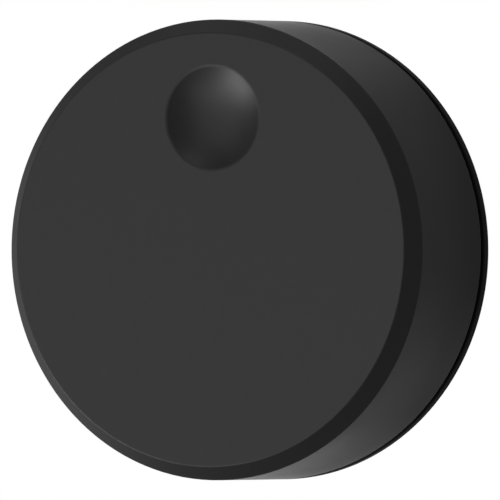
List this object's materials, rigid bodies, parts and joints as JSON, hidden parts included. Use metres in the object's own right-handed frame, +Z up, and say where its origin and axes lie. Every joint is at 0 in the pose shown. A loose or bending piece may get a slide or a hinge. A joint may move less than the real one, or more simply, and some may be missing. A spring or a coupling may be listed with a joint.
{
  "type": "rotary remote control puck",
  "caption": "Round wall-held wireless dial: the front turns and presses, with a fingertip dimple, a coin cell behind a bayonet cover, and a magnetic base on a glued steel plate.",
  "frame": {"origin": "centre of the adhesive pad's rear face, on the wall plane and on the knob's axis", "axes": "+Y out of the rear face into the wall, so the face looks along -Y; +Z up, towards the dimple at rest; +X to the right as seen from the front"},
  "size_m": [0.045, 0.0162, 0.045],
  "materials": {
    "knob_black": "fine matte texture, moulded black plastic",
    "inner_black": "moulded black plastic",
    "inner_grey": "moulded grey plastic",
    "base_black": "darker black plastic, fine matte texture",
    "cover_black": "black plastic, matte",
    "rubber_black": "matt rubber",
    "ferrite": "plastic-bonded ferrite",
    "bush_pom": "white acetal",
    "washer_ptfe": "slippery white plastic",
    "felt": "grey felt",
    "spring_steel": "rolled spring steel",
    "magnet_nickel": "nickel plated",
    "cell_steel": "nickel plated steel",
    "contact_metal": "plated phosphor bronze",
    "board_green": "green solder mask",
    "screw_steel": "zinc plated",
    "switch_black": "glass filled plastic",
    "plunger_white": "white plastic",
    "shield_tin": "tin plated",
    "chip_black": "moulding compound",
    "ceramic_white": "ceramic",
    "ceramic_tan": "ceramic with tinned ends",
    "led_clear": "clear resin",
    "pipe_clear": "clear polycarbonate",
    "button_grey": "grey plastic",
    "plate_steel": "zinc plated steel",
    "pad_foam": "white foam tape with a release liner"
  },
  "bodies": {
    "wall_mount": {"wall_plate": "plate_steel", "adhesive_pad": "pad_foam"},
    "base": {"base_housing": "base_black", "anti_slip_ring": "rubber_black", "base_magnets": "magnet_nickel", "coin_cell": "cell_steel", "negative_contact": "contact_metal", "positive_contact": "contact_metal", "main_pcb": "board_green", "pcb_screws": "screw_steel", "tact_switch": "switch_black", "radio_shield": "shield_tin", "radio_chip": "chip_black", "crystal": "shield_tin", "chip_antenna": "ceramic_white", "hall_sensors": "chip_black", "capacitors": "ceramic_tan", "status_led": "led_clear", "pairing_switch": "switch_black", "light_pipe": "pipe_clear", "return_spring": "spring_steel"},
    "press_stage": {"press_slider": "inner_grey", "thrust_washer": "washer_ptfe", "friction_ring": "felt", "retaining_clip": "spring_steel"},
    "knob": {"knob_cap": "knob_black", "knob_carrier": "inner_black", "encoder_ring": "ferrite", "bearing_bush": "bush_pom"},
    "plunger": {"switch_plunger": "plunger_white"},
    "pairing": {"pairing_button": "button_grey"},
    "cover": {"battery_cover": "cover_black"}
  },
  "joints": [
    {"name": "pull_off", "type": "slide", "parent": "wall_mount", "child": "base", "axis": [0, -1, 0], "range_m": [0, 0.03]},
    {"name": "knob_press", "type": "slide", "parent": "base", "child": "press_stage", "axis": [0, 1, 0], "range_m": [0, 0.0003], "stiffness_N_per_m": 3000, "springref_m": -0.0004, "deforming": ["return_spring"]},
    {"name": "knob_spin", "type": "hinge", "parent": "press_stage", "child": "knob", "pos_m": [0, -0.01, 0], "axis": [0, -1, 0], "continuous": true},
    {"name": "switch_click", "type": "slide", "parent": "base", "child": "plunger", "axis": [0, 1, 0], "range_m": [0, 0.0003]},
    {"name": "pairing_press", "type": "slide", "parent": "base", "child": "pairing", "axis": [0, -1, 0], "range_m": [0, 0.00025], "stiffness_N_per_m": 1500, "springref_m": -0.0003},
    {"name": "cover_twist", "type": "hinge", "parent": "base", "child": "cover", "pos_m": [0, -0.0018, 0], "axis": [0, 1, 0], "range_deg": [0, 25]}
  ],
  "couplings": [
    {"joint": "switch_click", "follows": "knob_press", "ratio": 1}
  ]
}
